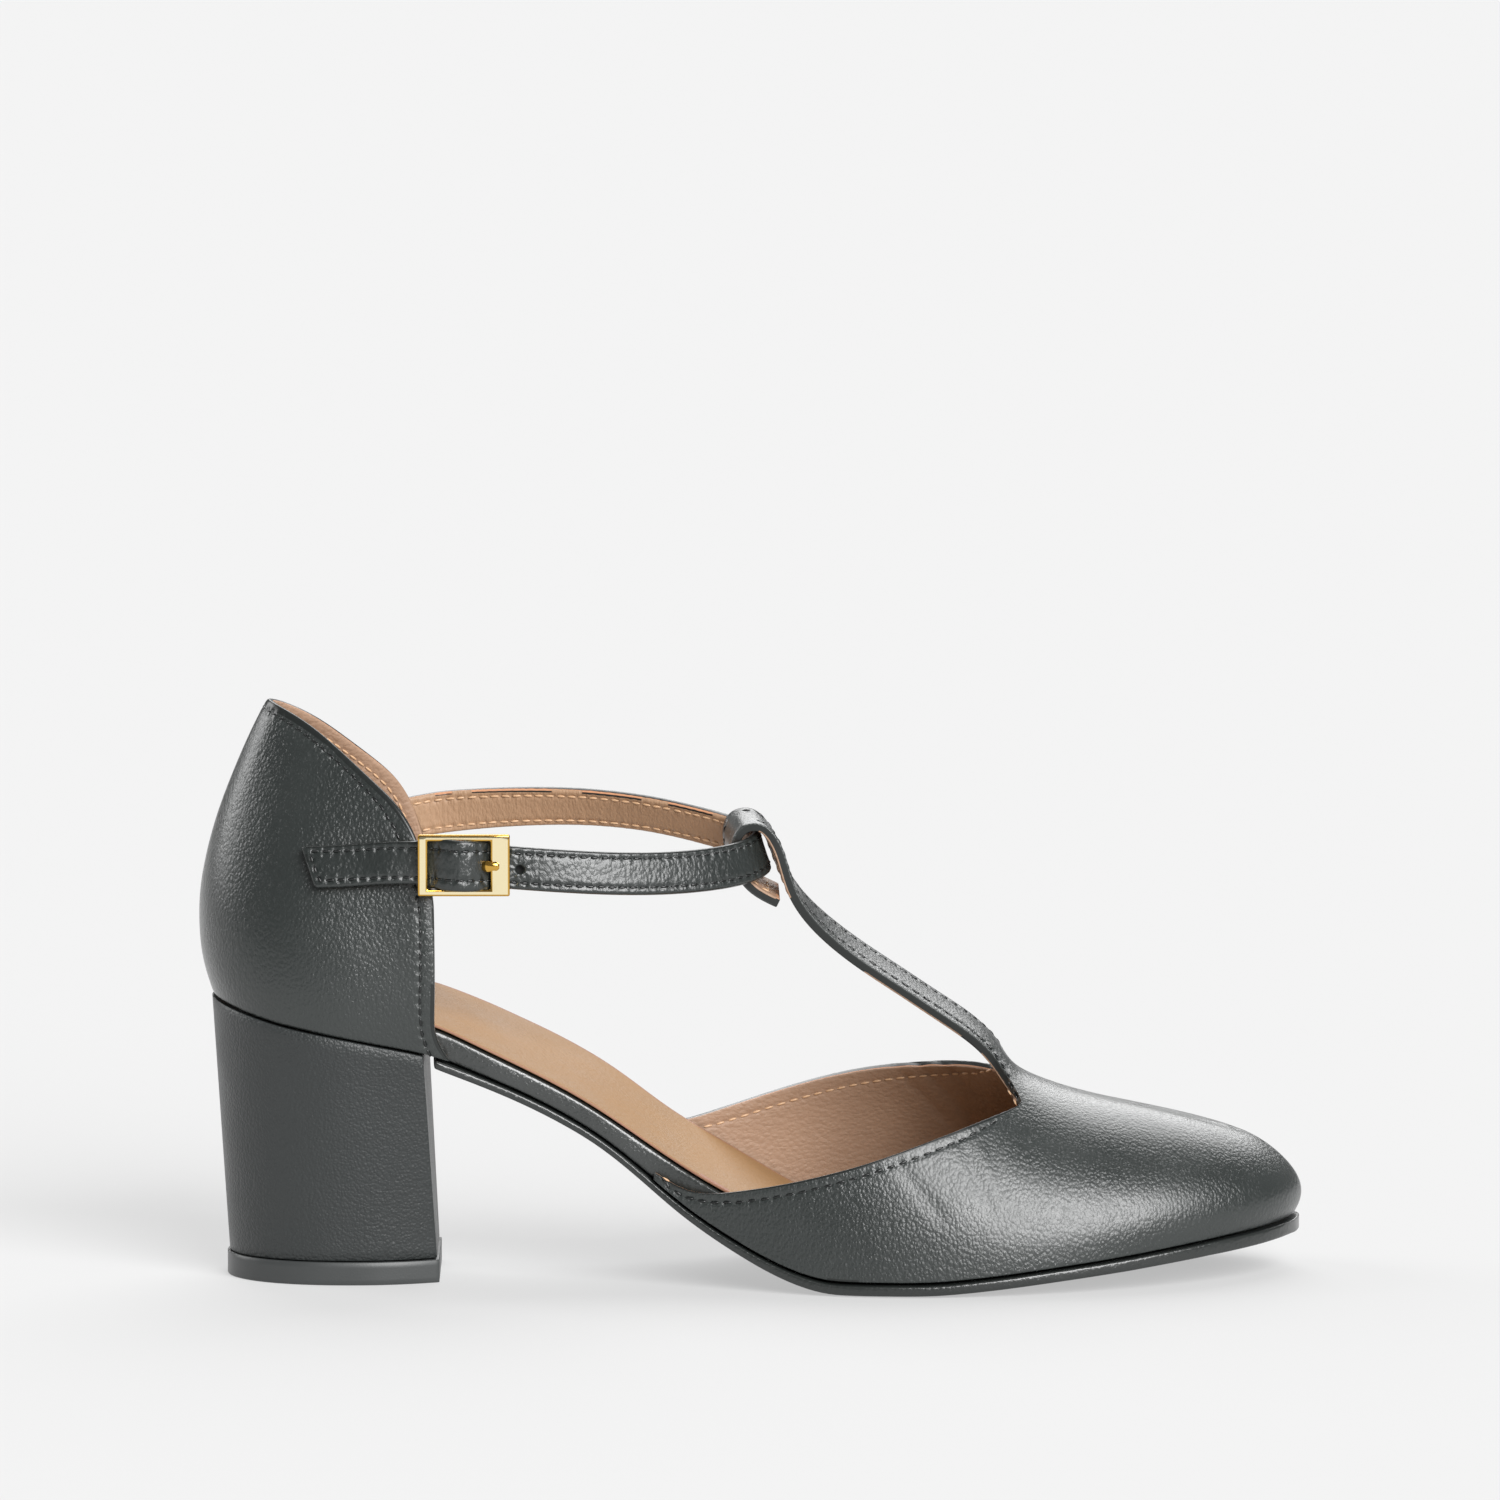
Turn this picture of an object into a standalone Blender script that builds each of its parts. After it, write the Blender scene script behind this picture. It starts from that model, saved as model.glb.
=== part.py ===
# T-strap shoe for the right foot: toe towards +X, outer side towards -Y, floor at z = 0.
# Lengths are in millimetres and become metres when a mesh is made.
import math
import bpy
import bmesh
from mathutils import Vector

# Driving dimensions
HEEL_BACK = 2.7
SOLE_TIP = 234.8
TOP_PIECE_THICKNESS = 4.9
WALL = 2.1
GAP = 0.3
UPPER_GAP = 0.45
SOCK_THICKNESS = 1.0
STRAP_WIDTH = 9.2
STRAP_THICKNESS = 2.0
BUCKLE_LENGTH = 19.6
BUCKLE_HEIGHT = 13.2
BUCKLE_THICKNESS = 1.6
BAR = 1.4
PRONG_BAR = 3.6
TAB_WIDTH = 6.5
TAB_THICKNESS = 0.9
MM = 0.001


def table(columns, *rows):
    """A short table: a dictionary from each column's name to its values."""
    return {name: [row[i] for row in rows] for i, name in enumerate(columns.split())}


# Plan of the upper's lower edge, from the outer waist round the toe to the inner waist and round the heel
FEATHER_PLAN = table(
    "x y",
    (54, -25.0), (72, -22.8), (92, -23.4), (112, -28.4), (132, -34.4), (150, -37.2), (170, -36.4),
    (190, -31.8), (208, -24.4), (222, -15.0), (231, -4.8), (SOLE_TIP, 6.0), (232.4, 16.0), (224, 25.2),
    (208, 31.8), (188, 35.4), (166, 37.2), (148, 36.6), (128, 31.8), (108, 24.8), (88, 20.6), (70, 20.8),
    (54, 23.4), (40, 26.2), (26, 26.6), (13, 21.6), (5.2, 12.4), (HEEL_BACK, 0), (5.2, -12.4), (13, -21.8),
    (26, -27.0), (40, -26.8),
)

# Height of the upper's lower edge on the outer side, thickness of the outsole under it, how much
# higher the inner side lies, and thickness of the padded insole board over it
PROFILE = table(
    "x feather sole rise board",
    (2.7, 60.2, 2.1, 0.0, 4.4), (10, 58.2, 2.1, 0.2, 4.6), (17, 56.4, 2.1, 0.5, 4.9),
    (27, 54.5, 2.1, 1.0, 5.4), (38, 52.3, 2.1, 1.8, 5.9), (48, 50.1, 2.1, 2.8, 6.1),
    (57, 46.7, 2.1, 3.6, 5.6), (67, 42.4, 2.1, 4.3, 4.9), (76, 37.9, 2.1, 4.8, 4.8),
    (86, 31.9, 2.1, 5.0, 5.0), (94, 25.4, 2.1, 4.8, 5.8), (101.5, 19.1, 2.2, 4.3, 7.0),
    (107, 15.1, 2.2, 3.9, 7.7), (114, 10.8, 2.3, 3.2, 8.3), (121, 7.0, 2.4, 2.0, 8.6),
    (128, 4.1, 2.5, 0.8, 8.2), (135, 2.5, 2.5, 0.0, 7.4), (154, 2.5, 2.5, 0.0, 5.2),
    (168, 3.6, 2.6, 0.0, 4.4), (182, 5.2, 2.7, 0.0, 4.0), (196, 6.8, 2.8, 0.0, 3.8),
    (210, 8.6, 3.0, 0.0, 3.6), (221, 9.9, 3.1, 0.0, 3.5), (229, 10.7, 3.1, 0.0, 3.5),
    (236, 11.5, 3.1, 0.0, 3.5),
)

# How far the outsole stands out from the upper's plan
SOLE_MARGIN = table("x margin", (50, 0.0), (62, 0.2), (95, 0.4), (120, 0.9), (215, 0.9), (235, 1.3))

# How far the insole board's edge lies inside the plan: the wall inside the upper, little in the open waist
BOARD_INSET = table("x inset", (0, 2.9), (55, 2.9), (58, 0.7), (92, 0.7), (95.5, 2.9), (240, 2.9))

# Crest of the last, and where each rib's crest point lies along the outer and inner lower edge
CREST = table(
    "x y z round bulge outer inner",
    (98.0, 0.0, 106.0, 0.85, 0.6, 0.0, 0.0), (118.0, 0.2, 90.5, 0.85, 0.9, 0.125, 0.13),
    (136.0, 0.4, 74.5, 0.85, 1.2, 0.245, 0.25), (152.0, 0.6, 61.0, 0.85, 1.4, 0.355, 0.355),
    (164.0, 0.8, 52.0, 0.85, 1.6, 0.445, 0.43), (174.0, 1.0, 44.7, 0.85, 1.8, 0.53, 0.49),
    (182.0, 1.2, 41.0, 0.88, 2.0, 0.595, 0.56), (191.0, 1.6, 38.2, 0.92, 2.4, 0.67, 0.645),
    (200.0, 2.2, 36.1, 0.96, 2.9, 0.75, 0.735), (209.0, 3.0, 33.8, 1.0, 3.4, 0.845, 0.835),
    (216.0, 3.8, 31.7, 1.0, 3.9, 0.925, 0.92), (220.0, 4.4, 30.2, 1.0, 4.2, 1.0, 1.0),
)

# Height of the vamp's top edge on each side
OUTER_TOPLINE = table(
    "x z", (97, 24.6), (101, 21.9), (106, 20.4), (113, 21.2), (123, 23.0), (139, 27.0), (158, 33.2),
    (168, 36.5), (178, 39.2),
)
INNER_TOPLINE = table(
    "x z", (97, 29.0), (101, 29.0), (106, 30.4), (115, 33.0), (125, 36.1), (135, 38.9), (145, 41.0),
    (155, 42.2), (163, 43.2), (168, 43.5), (174, 42.4),
)

# Sections of the T-strap's outer face up from the throat and round the loop: centre, half width, drop of
# the edges under the centre, and how far it rises and twists back per millimetre across
T_STRAP = table(
    "x z half drop rise twist",
    (171.6, 48.6, 9.4, 1.9, 0.10, 0.0), (168.6, 51.6, 7.8, 0.9, 0.15, 0.0), (164.4, 54.8, 7.0, 0.5, 0.19, 0.0),
    (157.6, 59.2, 6.75, 0.5, 0.19, 0.0), (150.4, 64.0, 6.75, 0.4, 0.19, 0.0), (143.0, 68.8, 6.75, 0.4, 0.19, 0.0),
    (136.6, 73.4, 6.75, 0.3, 0.18, 0.0), (130.8, 78.6, 6.75, 0.2, 0.16, 0.03), (127.2, 83.5, 6.75, 0.1, 0.14, 0.08),
    (125.4, 88.2, 6.75, 0.0, 0.13, 0.13), (124.0, 92.8, 6.75, 0.0, 0.13, 0.155),
    (121.9, 96.7, 6.75, 0.0, 0.13, 0.155), (119.2, 98.9, 6.75, 0.0, 0.13, 0.155),
    (115.2, 98.6, 6.75, 0.0, 0.13, 0.155), (112.7, 95.7, 6.75, 0.0, 0.13, 0.155),
    (112.4, 91.2, 6.75, 0.0, 0.13, 0.13), (114.2, 86.6, 6.75, 0.0, 0.13, 0.08), (117.6, 82.9, 6.75, 0.0, 0.13, 0.05),
    (123.2, 80.3, 6.75, 0.0, 0.13, 0.02),
)

# Top edge of the counter, from the back seam to the foot of its straight front edge
COLLAR = table(
    "along x half z",
    (0.0, 14.0, 0.0, 124.3), (0.12, 16.3, 4.8, 123.4), (0.25, 21.4, 8.4, 121.0), (0.4, 26.7, 11.8, 117.5),
    (0.55, 32.0, 15.4, 113.1), (0.68, 37.0, 18.6, 108.8), (0.79, 41.0, 21.4, 105.0), (0.87, 43.6, 23.4, 101.3),
    (0.94, 46.4, 25.2, 96.2), (1.0, 49.6, 26.4, 85.0),
)
FRONT_EDGE_X = 49.6
FRONT_LIP = 4.0

# Swell of the counter behind a straight line from its lower edge to its top edge, at the back seam
COUNTER_SWELL = table(
    "up out", (0.0, 0.1), (0.11, 3.6), (0.22, 5.8), (0.39, 7.3), (0.52, 7.0), (0.66, 5.8), (0.8, 3.8), (0.93, 1.6),
    (1.0, 0.0),
)
SIDE_SWELL = 0.32

# Heel block at the floor: where it starts, is widest and ends, and its half widths there
HEEL_FOOT = {"back": 5.9, "widest": 33.0, "breast": 50.7, "half": 20.2, "breast_half": 15.6}
HEEL_SEAT_BREAST = 48.8
HEEL_SEAT_GROWTH = 0.4

# Middle line of the ankle strap from its free end on the outer side to its inner end: x, y, height and
# how far it leans in at the top in degrees. Where y is None it lies on the counter, this far from it
ANKLE_STRAP = table(
    "x y z lean off",
    (23.5, None, 90.6, 0, 0.5), (30.0, None, 91.0, 0, 0.6), (36.5, None, 91.6, 0, 1.1),
    (41.5, None, 92.1, 0, 1.8), (48.6, -28.75, 92.3, 3, 0), (52.2, -31.3, 92.2, 3, 0),
    (55.8, -32.7, 92.0, 3, 0), (59.2, -31.5, 91.9, 3, 0), (62.6, -28.9, 91.7, 3, 0),
    (66.6, -28.4, 91.2, 5, 0), (71.0, -28.1, 90.8, 8, 0), (78.0, -27.2, 90.2, 10, 0), (88.0, -24.9, 89.4, 12, 0),
    (99.0, -20.3, 88.8, 14, 0), (109.0, -14.6, 88.9, 16, 0), (116.0, -8.6, 89.5, 18, 0),
    (119.6, -3.4, 90.6, 18, 0), (120.0, 1.4, 91.2, 18, 0), (118.6, 6.4, 91.8, 20, 0),
    (114.6, 11.6, 92.9, 23, 0), (106.0, 17.6, 94.6, 27, 0), (95.0, 22.2, 96.4, 30, 0),
    (82.0, 25.8, 97.3, 28, 0), (69.0, 27.8, 97.1, 22, 0), (58.0, 28.6, 96.4, 14, 0),
    (50.0, 28.5, 95.6, 6, 0), (43.0, None, 94.6, 0, 0.6), (36.0, None, 93.6, 0, 0.5),
    (28.0, None, 92.6, 0, 0.5),
)
FREE_END_SLANT = 1.6

# The buckle's frame, its hidden middle bar, and the hole that the prong comes through
BUCKLE = {"x": 56.8, "y": -30.2, "z": 92.0, "bar_x": 55.6, "bar_y": -29.9, "bar_radius": 0.6}
HOLE = {"start": 59.6, "end": 62.9}
PRONG_RADIUS = 0.45

MATERIALS = {
    # name: colour, roughness, metallic
    "black_nappa": ((0.035, 0.040, 0.039, 1), 0.38, 0.0),
    "black_heel_cover": ((0.045, 0.050, 0.050, 1), 0.55, 0.0),
    "black_rubber": ((0.060, 0.063, 0.063, 1), 0.6, 0.0),
    "tan_lining": ((0.42, 0.22, 0.11, 1), 0.6, 0.0),
    "black_sole_edge": ((0.030, 0.033, 0.033, 1), 0.35, 0.0),
    "brass": ((0.83, 0.62, 0.28, 1), 0.22, 1.0),
}


def at(values, column, x, key="x"):
    """A column's value at x, on a smooth curve through the rows that never overshoots them."""
    xs, ys = values[key], values[column]
    if x <= xs[0]:
        return ys[0]
    if x >= xs[-1]:
        return ys[-1]
    i = max(k for k in range(len(xs) - 1) if xs[k] <= x)
    secants = [(ys[k + 1] - ys[k]) / (xs[k + 1] - xs[k]) for k in range(len(xs) - 1)]

    def slope(k):
        if k == 0:
            return secants[0]
        if k == len(xs) - 1:
            return secants[-1]
        before, after = secants[k - 1], secants[k]
        return 2 * before * after / (before + after) if before * after > 0 else 0.0

    width = xs[i + 1] - xs[i]
    t = (x - xs[i]) / width
    return (
        (1 + 2 * t) * (1 - t) ** 2 * ys[i] + t * (1 - t) ** 2 * width * slope(i)
        + t * t * (3 - 2 * t) * ys[i + 1] + t * t * (t - 1) * width * slope(i + 1)
    )


def curve_through(points, closed, steps=12):
    """A Catmull-Rom curve through points, sampled densely."""
    count = len(points)
    spans = count if closed else count - 1
    samples = []
    for i in range(spans):
        if closed:
            four = [points[(i + k) % count] for k in (-1, 0, 1, 2)]
        else:
            four = [points[min(max(i + k, 0), count - 1)] for k in (-1, 0, 1, 2)]
        for step in range(steps):
            t = step / steps
            samples.append(0.5 * (
                2 * four[1] + (four[2] - four[0]) * t
                + (2 * four[0] - 5 * four[1] + 4 * four[2] - four[3]) * t * t
                + (3 * four[1] - four[0] - 3 * four[2] + four[3]) * t ** 3
            ))
    if not closed:
        samples.append(points[-1].copy())
    return samples


class Path:
    """A polyline that can be read at any fraction of its length."""

    def __init__(self, points):
        self.points = points
        self.lengths = [0.0]
        for a, b in zip(points, points[1:]):
            self.lengths.append(self.lengths[-1] + (b - a).length)

    def at(self, fraction):
        target = fraction * self.lengths[-1]
        i = 0
        while i < len(self.points) - 2 and self.lengths[i + 1] < target:
            i += 1
        span = self.lengths[i + 1] - self.lengths[i]
        return self.points[i].lerp(self.points[i + 1], (target - self.lengths[i]) / span)


for leftover in list(bpy.data.objects):
    bpy.data.objects.remove(leftover, do_unlink=True)
SHOE = bpy.data.objects.new("shoe", None)
bpy.context.collection.objects.link(SHOE)

PLAN = curve_through([Vector((x, y)) for x, y in zip(FEATHER_PLAN["x"], FEATHER_PLAN["y"])], closed=True)
TIP_INDEX = max(range(len(PLAN)), key=lambda i: PLAN[i].x)
BACK_INDEX = min(range(len(PLAN)), key=lambda i: PLAN[i].x)


def plan_side(side, inset_at=None, start=0.0, end=300.0):
    """The plan from the heel's back to the toe's tip along one side, drawn in by inset_at(x)."""
    size = len(PLAN)
    step = 1 if side == "outer" else -1
    points = []
    i = BACK_INDEX
    while True:
        along = (PLAN[(i + 1) % size] - PLAN[i - 1]).normalized()
        inward = Vector((-along.y, along.x))
        point = PLAN[i] + (inward * inset_at(PLAN[i].x) if inset_at else Vector((0, 0)))
        if start <= point.x <= end:
            points.append(point)
        if i == TIP_INDEX:
            return Path(points)
        i = (i + step) % size


def feather(x, y):
    """Height of the surface that the upper and the insole board stand on."""
    across = min(max((y + 24) / 48, 0), 1)
    return at(PROFILE, "feather", x) + at(PROFILE, "rise", x) * across * across * (3 - 2 * across)


def material(name):
    """The Principled material of one finish."""
    found = bpy.data.materials.get(name)
    if found:
        return found
    colour, roughness, metallic = MATERIALS[name]
    made = bpy.data.materials.new(name)
    made.use_nodes = True
    shader = made.node_tree.nodes["Principled BSDF"]
    shader.inputs["Base Color"].default_value = colour
    shader.inputs["Roughness"].default_value = roughness
    shader.inputs["Metallic"].default_value = metallic
    made.diffuse_color = colour
    return made


def add_object(name, points, faces, finish, smooth_angle=40):
    """A mesh object of millimetre points, parented to the shoe's empty."""
    mesh = bpy.data.meshes.new(name)
    mesh.from_pydata([Vector(p) * MM for p in points], [], faces)
    mesh.materials.append(material(finish))
    mesh.shade_smooth()
    mesh.set_sharp_from_angle(angle=math.radians(smooth_angle))
    made = bpy.data.objects.new(name, mesh)
    bpy.context.collection.objects.link(made)
    made.parent = SHOE
    return made


def add_sheet(name, points, faces, thickness, finish):
    """A leather piece: the outer face as a sheet, with its wall added on the inside."""
    made = add_object(name, points, faces, finish)
    wall = made.modifiers.new("Wall", "SOLIDIFY")
    wall.thickness = thickness * MM
    wall.offset = -1
    wall.use_quality_normals = True
    return made


def add_block(name, finish, layers, rows, columns):
    """A closed block from layers, bottom to top. Each is an outer path, an inner path and a height at
    x, y, w, where w runs from 0 at the outer edge to 1 at the inner edge."""
    points, index = [], {}
    last = len(layers) - 1

    def vertex(layer, i, j):
        outer, inner, height = layers[layer]
        a, b = outer.at(i / rows), inner.at(i / rows)
        if (a - b).length < 0.5:
            j = 0
        key = (layer, i, j)
        if key not in index:
            p = a.lerp(b, j / columns)
            index[key] = len(points)
            points.append((p.x, p.y, height(p.x, p.y)))
        return index[key]

    rim = [(i, 0) for i in range(rows + 1)] + [(rows, j) for j in range(1, columns)]
    rim += [(i, columns) for i in range(rows, -1, -1)] + [(0, j) for j in range(columns - 1, 0, -1)]
    faces = []
    for i in range(rows):
        for j in range(columns):
            square = [(i, j), (i + 1, j), (i + 1, j + 1), (i, j + 1)]
            faces.append([vertex(last, *corner) for corner in square])
            faces.append([vertex(0, *corner) for corner in reversed(square)])
    for layer in range(last):
        for k, here in enumerate(rim):
            after = rim[(k + 1) % len(rim)]
            faces.append([
                vertex(layer, *here), vertex(layer, *after), vertex(layer + 1, *after), vertex(layer + 1, *here),
            ])
    trimmed = []
    for face in faces:
        face = [v for k, v in enumerate(face) if v != face[k - 1]]
        if len(set(face)) > 2:
            trimmed.append(face)
    return add_object(name, points, trimmed, finish)


def soften(made, width, segments=1, angle=50):
    """Round an object's edges a little."""
    bevel = made.modifiers.new("Edge", "BEVEL")
    bevel.width = width * MM
    bevel.segments = segments
    bevel.limit_method = "ANGLE"
    bevel.angle_limit = math.radians(angle)


def board_inset(x):
    return at(BOARD_INSET, "inset", x)


def make_outsole():
    """Thin leather sole from the heel breast to the toe, a little wider than the upper."""

    def margin(x):
        return -at(SOLE_MARGIN, "margin", x)

    def bottom(x, y):
        return feather(x, y) - at(PROFILE, "sole", x)

    start = HEEL_SEAT_BREAST + GAP
    sides = [plan_side(side, margin, start) for side in ("outer", "inner")]
    made = add_block("outsole", "black_sole_edge", [(*sides, bottom), (*sides, feather)], 36, 6)
    soften(made, 0.5)


def make_insole_board():
    """Padded board whose leather-wrapped side shows between counter and vamp."""

    def bottom(x, y):
        return feather(x, y) + GAP

    def top(x, y):
        return bottom(x, y) + at(PROFILE, "board", x)

    sides = [plan_side(side, board_inset) for side in ("outer", "inner")]
    made = add_block("insole_board", "black_nappa", [(*sides, bottom), (*sides, top)], 40, 5)
    soften(made, 0.9)


def make_sock_lining():
    """Tan sock over the board, set in a little from its edge."""

    def bottom(x, y):
        return feather(x, y) + 2 * GAP + at(PROFILE, "board", x)

    def top(x, y):
        return bottom(x, y) + SOCK_THICKNESS

    def inset(x):
        return board_inset(x) + 0.6

    sides = [plan_side(side, inset) for side in ("outer", "inner")]
    add_block("sock_lining", "tan_lining", [(*sides, bottom), (*sides, top)], 40, 5)


def heel_foot_side(sign, grow):
    """Half of the heel's outline at the floor, from its back to its breast."""
    back, widest = HEEL_FOOT["back"] - grow, HEEL_FOOT["widest"]
    breast, half = HEEL_FOOT["breast"] + grow, HEEL_FOOT["half"] + grow
    points = []
    for k in range(17):
        turn = k / 16 * math.pi / 2
        points.append(Vector((widest - (widest - back) * math.cos(turn) ** 0.85, sign * half * math.sin(turn) ** 0.95)))
    narrowing = HEEL_FOOT["half"] - HEEL_FOOT["breast_half"]
    for k in range(1, 9):
        points.append(Vector((widest + (breast - widest) * k / 8, sign * (half - narrowing * (k / 8) ** 2))))
    return Path(points)


def make_heel():
    """Block heel, wide and cupped at the seat, with its rubber top piece."""
    foot = [heel_foot_side(-1, 0), heel_foot_side(1, 0)]
    seat = [plan_side(side, lambda x: -HEEL_SEAT_GROWTH, -5, HEEL_SEAT_BREAST) for side in ("outer", "inner")]
    levels = 5
    layers = []
    for level in range(levels + 1):
        up = level / levels
        sides = []
        for low, high in zip(foot, seat):
            sides.append(Path([low.at(k / 40).lerp(high.at(k / 40), up) for k in range(41)]))

        def height(x, y, up=up):
            floor = TOP_PIECE_THICKNESS + GAP
            return floor + (feather(x, y) - floor) * up

        layers.append((*sides, height))
    add_block("heel", "black_heel_cover", layers, 20, 6)
    lift = [heel_foot_side(-1, 0.5), heel_foot_side(1, 0.5)]
    made = add_block(
        "top_piece", "black_rubber",
        [(*lift, lambda x, y: 0.0), (*lift, lambda x, y: TOP_PIECE_THICKNESS)], 20, 4,
    )
    soften(made, 0.3)


VAMP_START = 97.0
VAMP_SIDE = {side: plan_side(side, None, VAMP_START) for side in ("outer", "inner")}
WING_COLUMNS = 8
CROWN_COLUMNS = 4
THROAT_X = 174.0
TIP_CROWDING = 1.45


def rib_point(side, crest_x, turn):
    """A point of the last on the rib that ends at crest_x: turn is 0 at the sole and 1 at the crest."""
    fraction = at(CREST, side, crest_x)
    path = VAMP_SIDE[side]
    foot = path.at(fraction)
    along = path.at(min(fraction + 0.01, 1)) - path.at(max(fraction - 0.01, 0))
    out = Vector((along.y, -along.x)).normalized() * (1 if side == "outer" else -1)
    low = feather(foot.x, foot.y) + UPPER_GAP
    angle = turn * math.pi / 2
    up = math.sin(angle)
    roundness = at(CREST, "round", crest_x)
    inward = roundness * (1 - math.cos(angle)) + (1 - roundness) * up
    swell = at(CREST, "bulge", crest_x) * math.sin(math.pi * up) * (1 - up)
    crest = Vector((crest_x, at(CREST, "y", crest_x)))
    flat = foot.lerp(crest, inward) + out * swell
    return Vector((flat.x, flat.y, low + (at(CREST, "z", crest_x) - low) * up))


def topline_turn(side, crest_x):
    """How far up its rib the vamp's top edge lies."""
    line = OUTER_TOPLINE if side == "outer" else INNER_TOPLINE
    low, high = 0.012, 1.0
    for _ in range(30):
        middle = (low + high) / 2
        point = rib_point(side, crest_x, middle)
        if point.z < at(line, "z", point.x):
            low = middle
        else:
            high = middle
    return low


def make_vamp():
    """Toe and sides over the last, with the T-strap and its loop in the same leather."""
    wing_ribs = 12
    toe_ribs = 13
    crest_xs = [CREST["x"][0] + (THROAT_X - CREST["x"][0]) * k / wing_ribs for k in range(wing_ribs + 1)]
    toe_length = CREST["x"][-1] - THROAT_X
    for k in range(1, toe_ribs + 1):
        crest_xs.append(THROAT_X + toe_length * (1 - (1 - k / toe_ribs) ** TIP_CROWDING))
    last = len(crest_xs) - 1
    columns = WING_COLUMNS + CROWN_COLUMNS
    points, index = [], {}

    def vertex(side, rib, column):
        if rib == last or column == columns:
            side = "outer"
        key = (side, rib, column)
        if key not in index:
            crest_x = crest_xs[rib]
            if rib <= wing_ribs:
                corner = topline_turn(side, crest_x)
            else:
                corner = topline_turn(side, THROAT_X)
                even = WING_COLUMNS / columns
                corner += (even - corner) * (rib - wing_ribs) / toe_ribs
            if column <= WING_COLUMNS:
                turn = corner * column / WING_COLUMNS
            else:
                turn = corner + (1 - corner) * (column - WING_COLUMNS) / CROWN_COLUMNS
            index[key] = len(points)
            points.append(rib_point(side, crest_x, turn))
        return index[key]

    faces = []
    for rib in range(last):
        for column in range(WING_COLUMNS if rib < wing_ribs else columns):
            square = [(rib, column), (rib + 1, column), (rib + 1, column + 1), (rib, column + 1)]
            faces.append([vertex("outer", *corner) for corner in square])
            faces.append([vertex("inner", *corner) for corner in reversed(square)])
    row = [vertex("outer", wing_ribs, WING_COLUMNS + k) for k in range(CROWN_COLUMNS + 1)]
    row += [vertex("inner", wing_ribs, columns - k) for k in range(1, CROWN_COLUMNS + 1)]
    middle_y = at(CREST, "y", THROAT_X)
    for x, z, half, drop, rise, twist in zip(*T_STRAP.values()):
        following = []
        for k in range(2 * CROWN_COLUMNS + 1):
            across = k / CROWN_COLUMNS - 1
            y = half * across
            following.append(len(points))
            points.append(Vector((x - twist * y, middle_y + y, z + rise * y - drop * across * across)))
        for k in range(2 * CROWN_COLUMNS):
            faces.append([row[k], row[k + 1], following[k + 1], following[k]])
        row = following
    add_sheet("vamp", points, faces, WALL, "black_nappa")


COUNTER_SIDE = {side: plan_side(side, None, 0, FRONT_EDGE_X) for side in ("outer", "inner")}


def counter_point(side, along, up):
    """The counter's outer face: along is 0 at the back and 1 at the front edge, up is 0 at the seat."""
    path = COUNTER_SIDE[side]
    sign = -1 if side == "outer" else 1
    base = path.at(along)
    step = path.at(min(along + 0.02, 1)) - path.at(max(along - 0.02, 0))
    out = Vector((-sign * step.y, sign * step.x)).normalized()
    if along < 0.02:
        out = Vector((-1, 0))
    lip = FRONT_LIP * max(0, 1 - up / 0.2) ** 2 * along ** 10
    low = feather(base.x + lip, base.y) + GAP
    edge = Vector((at(COLLAR, "x", along, "along"), sign * at(COLLAR, "half", along, "along")))
    height = at(COLLAR, "z", along, "along")
    ease = along * along * (3 - 2 * along)
    swell = at(COUNTER_SWELL, "out", up, "up") * (1 - (1 - SIDE_SWELL) * ease)
    flat = base.lerp(edge, up) + out * swell
    return Vector((flat.x + lip, flat.y, low + (height - low) * up))


def counter_half(side, x, z):
    """How far out the counter's outer face lies at x and z."""
    low, high = 0.05, 1.0
    point = None
    for _ in range(30):
        along = (low + high) / 2
        bottom, top = counter_point(side, along, 0).z, counter_point(side, along, 1).z
        point = counter_point(side, along, min(max((z - bottom) / (top - bottom), 0), 1))
        if point.x < x:
            low = along
        else:
            high = along
    return abs(point.y)


def make_counter():
    """Hollow heel leather round the back of the foot."""
    alongs = [0.0, 0.06, 0.13, 0.21, 0.3, 0.4, 0.5, 0.6, 0.7, 0.79, 0.87, 0.94, 1.0]
    ups = [0.0, 0.04, 0.09, 0.16, 0.25, 0.35, 0.45, 0.56, 0.67, 0.78, 0.89, 1.0]
    points, index = [], {}

    def vertex(side, i, j):
        if i == 0:
            side = "outer"
        key = (side, i, j)
        if key not in index:
            index[key] = len(points)
            points.append(counter_point(side, alongs[i], ups[j]))
        return index[key]

    faces = []
    for i in range(len(alongs) - 1):
        for j in range(len(ups) - 1):
            square = [(i, j), (i + 1, j), (i + 1, j + 1), (i, j + 1)]
            faces.append([vertex("outer", *corner) for corner in square])
            faces.append([vertex("inner", *corner) for corner in reversed(square)])
    add_sheet("counter", points, faces, WALL, "black_nappa")


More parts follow.
